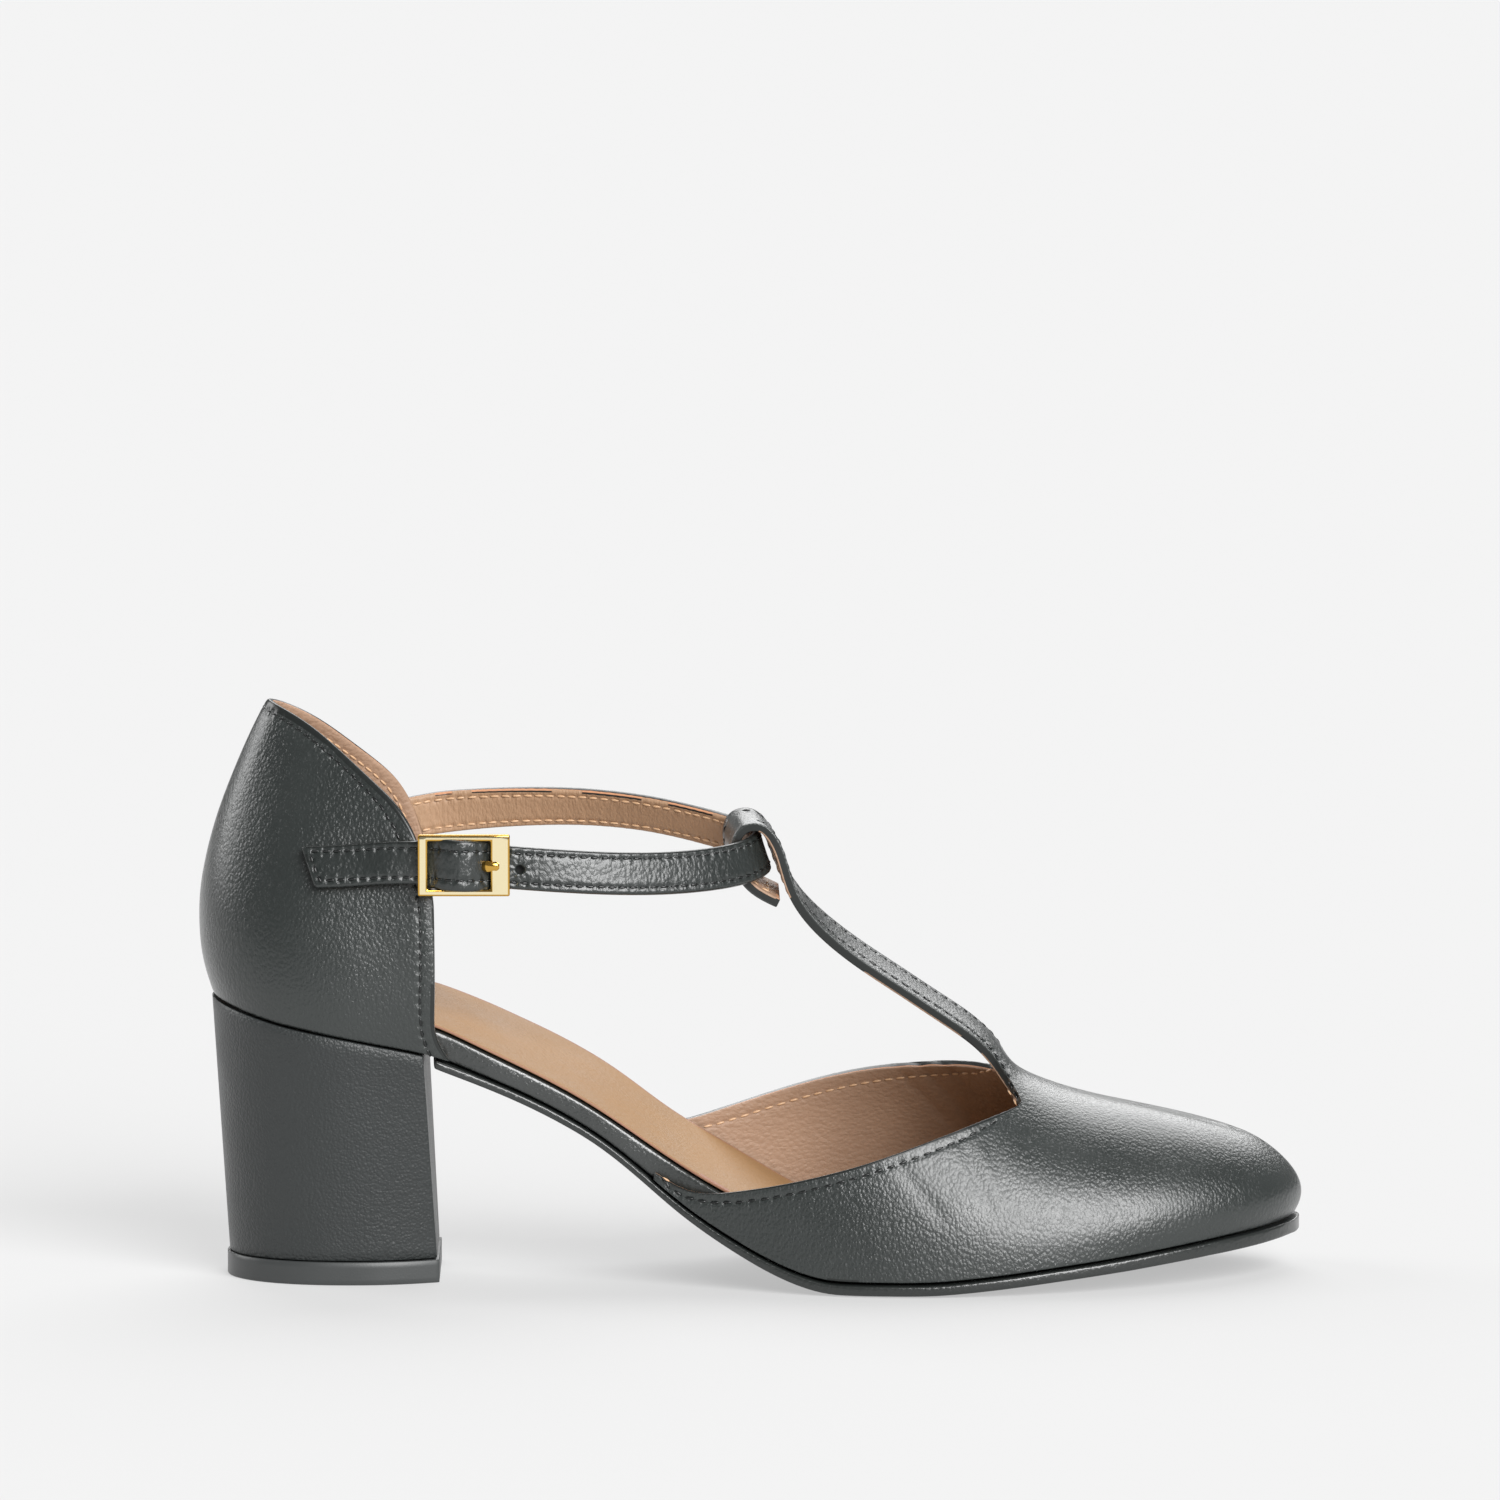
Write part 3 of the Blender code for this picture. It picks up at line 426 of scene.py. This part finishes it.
dressed, outerRims, liningRims = {}, {}, {}
for nodeName, (pieceName, slotName, rounding, levels, finishes) in leatherParts.items():
    piece = mergedCopy(nodeName, pieceName)
    if nodeName == "ankle_strap":
        closePunchedHole(piece, inShoe(*strapShape["cadHole"]))
    for finish in finishes:
        piece.data.materials.append(finish)
    regions = faceRegions(piece, shoe["cutBend"])
    for polygon, region in zip(piece.data.polygons, regions):
        polygon.material_index = min(region, 2)
    if nodeName in ("vamp", "counter", "ankle_strap"):
        markWallDepth(piece, regions)
        if nodeName == "vamp":
            # the lining's pared edge thins out at the vamp's tails
            for vertex, depth in zip(piece.data.vertices, piece.data.attributes["wallDepth"].data):
                if vertex.co.x < inShoe(shoe["tailEnd"], 0, 0).x:
                    depth.value *= shoe["tailThinning"]
        outerRims[nodeName] = rimLoops(piece, regions, 0)
        liningRims[nodeName] = rimLoops(piece, regions, 1)
    if rounding:
        applyModifier(piece, "BEVEL", width=rounding * mm, segments=1, limit_method="ANGLE",
                      angle_limit=math.radians(shoe["cutBend"]), offset_type="OFFSET")
    if nodeName in ("heel", "top_piece"):
        creaseBends(piece, shoe["hardBend"])
    applyModifier(piece, "SUBSURF", levels=levels, render_levels=levels)
    smoothAll(piece)
    finishPiece(piece, nodeName)
    dressed[nodeName] = piece
    if nodeName == "counter":
        moveCounterFront(piece)
    if nodeName == "ankle_strap":
        shapeStrap(piece)
    print(pieceName, len(piece.data.polygons), "faces")


# stitching
stitching = {
    "length": 1.9, "width": 0.55, "height": 0.5, "sink": 0.06,  # one stitch, in mm
    "step": 0.2, "snap": 2.2, "reach": 1.8,  # tracing step, furthest leather, and how wide a seam pulls
    "groove": 0.24, "grooveWidth": 0.55, "pucker": 0.09, "puckerWidth": 1.2,  # pressed seam, in mm
    "sameSide": 0.4, "shortest": 40,  # a run of fewer steps isn't sewn
    "lowerEdge": 0.55,  # nor an edge whose way into the leather points up more than this
    "rows": (
        # node, face (0 outer, 1 lining), inset in mm, pitch in mm, thread, piece
        ("counter", 0, 2.2, 2.3, "black", "counterStitches"),
        ("vamp", 0, 2.5, 2.6, "black", "vampStitches"),
        ("ankle_strap", 0, 1.5, 2.3, "black", "strapStitches"),
        ("counter", 1, 2.4, 2.3, "tan", "counterLiningStitches"),
        ("vamp", 1, 2.9, 2.6, "tan", "vampLiningStitches"),
        ("ankle_strap", 1, 1.5, 2.3, "tan", "strapLiningStitches"),
    ),
}


def resample(points, pitch):
    # places one pitch apart along a polyline, each with its direction
    places, left = [], pitch / 2
    for a, b in zip(points, points[1:]):
        span = (b - a).length
        if span < 1e-9:
            continue
        while left <= span:
            places.append((a.lerp(b, left / span), (b - a).normalized()))
            left += pitch
        left -= span
    return places


def splitRuns(loop, wanted):
    # the parts of a closed row whose points are wanted
    flags = [wanted(point, way) for point, way in loop]
    if all(flags):
        return [loop + loop[:1]]
    if not any(flags):
        return []
    start = next(i for i in range(len(loop)) if flags[i] and not flags[i - 1])
    runs, run = [], []
    for k in range(len(loop)):
        i = (start + k) % len(loop)
        if flags[i]:
            run.append(loop[i])
        elif run:
            runs.append(run)
            run = []
    if run:
        runs.append(run)
    return runs


def smoothRow(points, rounds=2):
    for _ in range(rounds):
        inner = [(points[i - 1] + points[i] * 2 + points[i + 1]) / 4 for i in range(1, len(points) - 1)]
        points = [points[0]] + inner + [points[-1]]
    return points


def makeStitch():
    # one sewn thread loop: a flattened capsule, pinched at both ends where it enters the leather
    bpy.ops.object.select_all(action="DESELECT")
    bpy.ops.mesh.primitive_uv_sphere_add(segments=8, ring_count=6, radius=0.5 * mm)
    stitch = bpy.context.active_object
    stitch.name = "stitchPattern"
    bpy.ops.object.mode_set(mode="EDIT")
    bpy.ops.mesh.select_all(action="SELECT")
    bpy.ops.transform.rotate(value=math.pi / 2, orient_axis="Y", center_override=(0, 0, 0))
    bpy.ops.transform.resize(value=(stitching["length"], stitching["width"], stitching["height"]),
                             center_override=(0, 0, 0))
    bpy.ops.object.mode_set(mode="OBJECT")
    return stitch


def traceSeam(tree, run, inset):
    # closely spaced places on the leather this far in from its edge: place, normal, direction, distance sewn
    seam, sewn = [], 0.0
    points = smoothRow([point + way * inset * mm for point, way in run])
    for place, along in resample(points, stitching["step"] * mm):
        spot, normal, _, _ = tree.find_nearest(place)
        if spot is not None and (spot - place).length < stitching["snap"] * mm:
            seam.append((spot, normal, along, sewn))
        sewn += stitching["step"]
    return seam


def vertexTree(piece):
    corners = KDTree(len(piece.data.vertices))
    for vertex in piece.data.vertices:
        corners.insert(vertex.co, vertex.index)
    corners.balance()
    return corners


def pressSeam(surface, corners, normals, seam, pitch):
    # the thread pulls the leather down along the seam, most where the needle went through
    nearest = {}
    for i, (spot, _, _, _) in enumerate(seam):
        for _, k, distance in corners.find_range(spot, stitching["reach"] * mm):
            if distance < nearest.get(k, (1.0, 0))[0]:
                nearest[k] = (distance, i)
    for k, (distance, i) in nearest.items():
        vertex = surface.data.vertices[k]
        if normals[k].dot(seam[i][1]) > stitching["sameSide"]:
            beat = math.cos(2 * math.pi * seam[i][3] / pitch)
            groove = stitching["groove"] * (0.7 + 0.3 * beat) * math.exp(
                -(distance / (stitching["grooveWidth"] * mm)) ** 2)
            pucker = stitching["pucker"] * beat * math.exp(-(distance / (stitching["puckerWidth"] * mm)) ** 2)
            vertex.co -= seam[i][1] * (groove + pucker) * mm


def sewSeam(pattern, seam, pitch):
    copies, due = [], pitch / 2
    for spot, normal, along, sewn in seam:
        if sewn >= due:
            due = sewn + pitch
            across = normal.cross(along).normalized()
            along = across.cross(normal)
            turn = Matrix((along, across, normal)).transposed().to_4x4()
            copy = bpy.data.objects.new("stitch", pattern.data.copy())
            copy.data.transform(Matrix.Translation(spot - normal * stitching["sink"] * mm) @ turn)
            bpy.context.scene.collection.objects.link(copy)
            copies.append(copy)
    return copies


def joinCopies(copies, pieceName, finish):
    bpy.ops.object.select_all(action="DESELECT")
    for copy in copies:
        copy.select_set(True)
    bpy.context.view_layer.objects.active = copies[0]
    bpy.ops.object.join()
    row = bpy.context.active_object
    row.name = pieceName
    row.data.materials.clear()
    row.data.materials.append(finish)
    smoothAll(row)
    print(pieceName, len(copies), "stitches")
    return row


stitchPattern = makeStitch()
threads = {"black": threadBlack, "tan": threadTan}
for nodeName, face, inset, pitch, thread, pieceName in stitching["rows"]:
    copies, seams = [], []
    surface = dressed[nodeName]
    tree = BVHTree.FromPolygons([vertex.co for vertex in surface.data.vertices],
                                [polygon.vertices for polygon in surface.data.polygons])
    corners, normals = vertexTree(surface), vertexNormals(surface)
    for loop in (outerRims if face == 0 else liningRims)[nodeName]:
        if nodeName == "ankle_strap":
            runs = splitRuns(loop, lambda point, way: True)
        else:
            runs = splitRuns(loop, lambda point, way: way.z < stitching["lowerEdge"])
        for run in runs:
            seam = traceSeam(tree, run, inset)
            if len(seam) > stitching["shortest"]:
                seams.append(seam)
    for seam in seams:
        copies += sewSeam(stitchPattern, seam, pitch)
        pressSeam(surface, corners, normals, seam, pitch)
    row = joinCopies(copies, pieceName, threads[thread])
    finishPiece(row, None)
bpy.data.objects.remove(stitchPattern)


# buckle and prong
buckle = {
    "left": 47.0, "right": 66.6, "low": 85.4, "high": 98.6,  # outside of the frame, in mm
    "window": (49.1, 62.5, 86.8, 97.2),  # left, right, low, high of its window
    "front": -31.9, "back": -30.2, "edge": 0.42, "edgeSteps": 3, "sharp": 35,
    "bar": (55.6, -29.9, 92.0), "barRadius": 0.6, "barShort": 1.2,  # its middle, and how much shorter it is
    "holeReach": 1.5,
}
prong = {
    # x, y, half height, half depth of each section from the middle bar to the tip
    "sections": ((56.4, -29.3, 0.55, 0.45), (58.6, -29.5, 0.6, 0.45), (60.4, -30.7, 0.85, 0.5),
                 (61.2, -31.9, 1.25, 0.55), (62.1, -32.35, 1.4, 0.5), (62.9, -32.45, 0.85, 0.5),
                 (63.8, -32.45, 1.0, 0.45), (64.4, -32.35, 0.5, 0.25)),
    "z": 91.9, "edge": 0.15, "sharp": 50,
}


def makeBuckle():
    bpy.ops.object.select_all(action="DESELECT")
    bpy.ops.mesh.primitive_plane_add(size=1)
    frameMesh = bpy.context.active_object
    frameMesh.name = "goldBuckle"
    width, height = buckle["right"] - buckle["left"], buckle["high"] - buckle["low"]
    middle = inShoe((buckle["left"] + buckle["right"]) / 2, buckle["front"],
                    (buckle["low"] + buckle["high"]) / 2)
    bpy.ops.object.mode_set(mode="EDIT")
    bpy.ops.mesh.select_all(action="SELECT")
    bpy.ops.transform.resize(value=(width * mm, height * mm, 1), center_override=(0, 0, 0))
    bpy.ops.object.mode_set(mode="OBJECT")
    frameMesh.data.transform(Matrix.Translation(middle) @ Matrix.Rotation(math.pi / 2, 4, "X"))
    pickOnly(frameMesh)
    bpy.ops.object.mode_set(mode="EDIT")
    left, right, low, high = buckle["window"]
    for place, way in ((inShoe(left, 0, 0), (1, 0, 0)), (inShoe(right, 0, 0), (1, 0, 0)),
                       (inShoe(0, 0, low), (0, 0, 1)), (inShoe(0, 0, high), (0, 0, 1))):
        bpy.ops.mesh.select_all(action="SELECT")
        bpy.ops.mesh.bisect(plane_co=place, plane_no=way)
    bpy.ops.mesh.select_mode(type="FACE")
    bpy.ops.object.mode_set(mode="OBJECT")
    hole = inShoe((left + right) / 2, buckle["front"], (low + high) / 2)
    for polygon in frameMesh.data.polygons:
        polygon.select = (polygon.center - hole).length < buckle["holeReach"] * mm
    bpy.ops.object.mode_set(mode="EDIT")
    bpy.ops.mesh.delete(type="FACE")
    bpy.ops.mesh.select_all(action="SELECT")
    bpy.ops.mesh.extrude_region_move(TRANSFORM_OT_translate={
        "value": (0, (buckle["back"] - buckle["front"]) * mm, 0)})
    bpy.ops.mesh.select_all(action="SELECT")
    bpy.ops.mesh.normals_make_consistent(inside=False)
    bpy.ops.object.mode_set(mode="OBJECT")
    # the flat faces take the pale gold with its painted highlight, the bevelled edges (material 1) the deeper
    # yellow with its painted shade
    frameMesh.data.materials.append(goldFrontPaintedHighlight)
    frameMesh.data.materials.append(goldEdge)
    applyModifier(frameMesh, "BEVEL", width=buckle["edge"] * mm, segments=buckle["edgeSteps"],
                  limit_method="ANGLE", material=1)
    bpy.ops.object.select_all(action="DESELECT")
    bpy.ops.mesh.primitive_cylinder_add(
        vertices=20, radius=buckle["barRadius"] * mm, depth=(height - buckle["barShort"]) * mm,
        location=inShoe(*buckle["bar"]))
    bar = bpy.context.active_object
    bar.data.transform(bar.matrix_world)
    bar.matrix_world = Matrix.Identity(4)
    bar.data.materials.append(goldEdge)
    bar.select_set(True)
    frameMesh.select_set(True)
    bpy.context.view_layer.objects.active = frameMesh
    bpy.ops.object.join()
    return frameMesh


def makeProng():
    bpy.ops.object.select_all(action="DESELECT")
    bpy.ops.mesh.primitive_circle_add(vertices=12, radius=1, fill_type="NGON")
    tongue = bpy.context.active_object
    tongue.name = "goldProng"
    first = prong["sections"][0]
    upright = Matrix(((0, 0, 1, 0), (0, 1, 0, 0), (-1, 0, 0, 0), (0, 0, 0, 1)))
    tongue.data.transform(Matrix.Translation(inShoe(first[0], first[1], prong["z"]))
                          @ Matrix.Diagonal((1, first[3] * mm, first[2] * mm, 1)) @ upright)
    pickOnly(tongue)
    bpy.ops.object.mode_set(mode="EDIT")
    bpy.ops.mesh.select_all(action="SELECT")
    here = first
    for section in prong["sections"][1:]:
        bpy.ops.mesh.extrude_region_move(TRANSFORM_OT_translate={
            "value": ((section[0] - here[0]) * mm, (section[1] - here[1]) * mm, 0)})
        bpy.ops.transform.resize(value=(1, section[3] / here[3], section[2] / here[2]),
                                 center_override=inShoe(section[0], section[1], prong["z"]))
        here = section
    bpy.ops.mesh.select_all(action="SELECT")
    bpy.ops.mesh.normals_make_consistent(inside=False)
    bpy.ops.object.mode_set(mode="OBJECT")
    applyModifier(tongue, "BEVEL", width=prong["edge"] * mm, segments=2, limit_method="ANGLE",
                  angle_limit=math.radians(prong["sharp"]))
    applyModifier(tongue, "SUBSURF", levels=1, render_levels=1)
    tongue.data.materials.append(goldEdge)
    return tongue


goldBuckle = makeBuckle()
smoothAll(goldBuckle)
pickOnly(goldBuckle)
bpy.ops.object.shade_smooth_by_angle(angle=math.radians(buckle["sharp"]))
finishPiece(goldBuckle, "buckle")
goldProng = makeProng()
smoothAll(goldProng)
finishPiece(goldProng, "prong")
print("buckle made")


# holes in the strap, each pressed in as a deep round dimple with a crinkled edge, so they don't go through;
# each dimple's floor is painted near-black as the shade inside a hole
strapHoles = {
    "radius": 1.0, "depth": 1.4, "crush": 0.14, "reach": 3,  # mm
    "crinkles": 9, "sameSide": 0.5,
    "places": ((57.1, -32.2, 92.9), (68.6, -28.9, 90.9)),
}
strap = dressed["ankle_strap"]
strap.data.materials.append(paintedHoleShade)
strapCorners, strapNormals = vertexTree(strap), vertexNormals(strap)
for x, y, z in strapHoles["places"]:
    _, middle, _ = strapCorners.find(inShoe(x, y, z))
    centre, facing = strap.data.vertices[middle].co.copy(), strapNormals[middle]
    inside = set()
    for place, k, distance in strapCorners.find_range(centre, strapHoles["reach"] * mm):
        vertex = strap.data.vertices[k]
        if strapNormals[k].dot(facing) > strapHoles["sameSide"]:
            far = distance / (strapHoles["radius"] * mm)
            turn = math.atan2(place.z - centre.z, place.x - centre.x)
            if far < 1:
                inside.add(k)
                vertex.co -= facing * strapHoles["depth"] * (1 - far ** 4) * mm
            else:
                vertex.co += (facing * strapHoles["crush"] * math.sin(turn * strapHoles["crinkles"])
                              * math.exp(1 - far) * mm)
    # painted shade: the faces on the dimple's floor take the near-black hole material
    for polygon in strap.data.polygons:
        if inside.issuperset(polygon.vertices):
            polygon.material_index = 3
    print("strap hole at y", round(centre.y * 1000, 1), "with", len(inside), "vertices")


# creases in the vamp's sides and in the counter's far lining
creaseShape = {"facing": -0.15, "overrun": 0.4, "fade": 0.5}  # the last two in lengths of the crease
creases = (
    # node, side (-1 outer, 1 inner), depth and half width in mm, both ends of its line in x and z
    ("vamp", -1, 0.22, 1.3, (163.0, 32.0), (168.5, 19.5)),
    ("vamp", -1, 0.16, 1.1, (168.4, 32.6), (172.0, 22.0)),
    ("vamp", -1, 0.14, 1.6, (150.0, 27.0), (158.0, 17.5)),
    ("vamp", 1, 0.45, 1.0, (155.6, 40.0), (167.5, 27.0)),
    ("vamp", 1, 0.35, 0.9, (151.0, 38.5), (160.0, 28.5)),
    ("vamp", 1, 0.40, 1.2, (160.5, 41.0), (171.5, 30.5)),
    ("counter", 1, 0.30, 0.9, (16.0, 108.0), (30.0, 99.0)),
    ("counter", 1, 0.25, 0.8, (22.0, 108.5), (38.0, 95.0)),
)
for nodeName, side, depth, width, start, end in creases:
    line = Vector((end[0] - start[0], end[1] - start[1]))
    normals = vertexNormals(dressed[nodeName])
    for vertex, normal in zip(dressed[nodeName].data.vertices, normals):
        if vertex.co.y * side > 0 and normal.y < creaseShape["facing"]:
            here = Vector((vertex.co.x * 1000 + shoe["heelBack"] - start[0], vertex.co.z * 1000 - start[1]))
            along = here.dot(line) / line.length_squared
            before, after = along + creaseShape["overrun"], 1 + creaseShape["overrun"] - along
            if before > 0 and after > 0:
                away = (here - line * along).length
                fade = ease(before / creaseShape["fade"]) * ease(after / creaseShape["fade"])
                vertex.co -= normal * depth * fade * math.exp(-(away / width) ** 2) * mm
print("creases pressed")


# the CAD vamp has a shallow valley along the top of its toe, which is filled here and then smoothed
toeCrest = {
    "place": (217.0, 4.0, 31.0), "reach": 8.0, "rounds": 30, "facing": 0.3,
    # the valley: x and how far it is lifted in mm, then its y at one x, its slope and its half width
    "lift": ((211.0, 0.0), (214.5, 0.4), (217.0, 0.48), (218.9, 0.57), (220.1, 0.7), (221.4, 0.0)),
    "crest": (211.67, 3.28, 0.1345), "width": 0.95,
}
work = bmesh.new()
work.from_mesh(dressed["vamp"].data)
middle = inShoe(*toeCrest["place"])
pulled = [vertex for vertex in work.verts
          if (vertex.co - middle).length < toeCrest["reach"] * mm and vertex.normal.z > toeCrest["facing"]]
print("toe crest", len(pulled), "vertices")
for vertex in pulled:
    x, y = vertex.co.x * 1000 + shoe["heelBack"], vertex.co.y * 1000
    away = y - toeCrest["crest"][1] - (x - toeCrest["crest"][0]) * toeCrest["crest"][2]
    for (start, low), (end, high) in zip(toeCrest["lift"], toeCrest["lift"][1:]):
        if start <= x < end:
            rise = low + (high - low) * (x - start) / (end - start)
            vertex.co.z += rise * math.exp(-(away / toeCrest["width"]) ** 2) * mm
for _ in range(toeCrest["rounds"]):
    bmesh.ops.smooth_vert(work, verts=pulled, factor=0.5,
                          use_axis_x=True, use_axis_y=True, use_axis_z=True)
work.to_mesh(dressed["vamp"].data)
work.free()
# the vamp is the one piece above 200,000 triangles, so its flattest faces are merged
applyModifier(dressed["vamp"], "DECIMATE", ratio=shoe["vampMerging"])
print("vampLeather", len(dressed["vamp"].data.polygons), "faces after merging")


# floor, light and camera
studio = {
    "floorHex": "#f3f3f3", "floorGlow": 0.515, "floorMatt": 0.27, "ambient": 0.2,
    "floorSize": 80, "floorBehind": 20, "floorDrop": 0.0001,
    "cameraDistance": 4.0, "cameraHeight": 0.616, "aimX": -0.0003, "aimZ": 0.1128,
    "lens": 451.8, "sensor": 36, "farClip": 100,
    # lamp: where its light comes from, how wide it looks in degrees, strength
    "lamps": {
        "frontSoftbox": ((0.55, -1.0, 0.64), 42, 4.6),
        "backSoftbox": ((0.1, 1.0, 1.0), 55, 2.5),
        "leftRimSoftbox": ((-1.0, 0.45, 0.5), 34, 1.2),
    },
}


def buildFloor():
    bpy.ops.object.select_all(action="DESELECT")
    bpy.ops.mesh.primitive_plane_add(
        size=studio["floorSize"], location=(0, studio["floorBehind"], -studio["floorDrop"]))
    floor = bpy.context.active_object
    floor.name = "studioFloor"
    made = newMaterial("matt white studio board")
    glow = addNode(made, "ShaderNodeEmission", None, {
        "Color": toLinear(studio["floorHex"]), "Strength": studio["floorGlow"]})
    matt = addNode(made, "ShaderNodeBsdfDiffuse", None, {"Color": (studio["floorMatt"],) * 3 + (1,)})
    both = addNode(made, "ShaderNodeAddShader")
    made.node_tree.links.new(glow.outputs[0], both.inputs[0])
    made.node_tree.links.new(matt.outputs[0], both.inputs[1])
    addNode(made, "ShaderNodeOutputMaterial", None, {"Surface": (both, "Shader")})
    floor.data.materials.append(made)


def addSoftbox(name, source, width, strength):
    # a lamp so far off that the floor is lit evenly, and so wide that it reads as a softbox in the leather
    lamp = bpy.data.lights.new(name, "SUN")
    lamp.angle = math.radians(width)
    lamp.energy = strength
    holder = bpy.data.objects.new(name, lamp)
    bpy.context.scene.collection.objects.link(holder)
    holder.location = Vector(source)
    holder.rotation_euler = (-Vector(source)).to_track_quat("-Z", "Y").to_euler()


buildFloor()
world = bpy.data.worlds.new("studio")
world.use_nodes = True
world.node_tree.nodes["Background"].inputs["Color"].default_value = (1, 1, 1, 1)
world.node_tree.nodes["Background"].inputs["Strength"].default_value = studio["ambient"]
bpy.context.scene.world = world
bpy.context.scene.view_settings.view_transform = "Standard"
for name, (source, width, strength) in studio["lamps"].items():
    addSoftbox(name, source, width, strength)

camera = bpy.data.cameras.new("photoCamera")
camera.lens = studio["lens"]
camera.sensor_width = studio["sensor"]
camera.clip_end = studio["farClip"]
viewer = bpy.data.objects.new("photoCamera", camera)
bpy.context.scene.collection.objects.link(viewer)
viewer.location = (studio["aimX"], -studio["cameraDistance"], studio["cameraHeight"])
aim = Vector((studio["aimX"], 0, studio["aimZ"]))
viewer.rotation_euler = (aim - viewer.location).to_track_quat("-Z", "Y").to_euler()
bpy.context.scene.camera = viewer
print("studio ready")
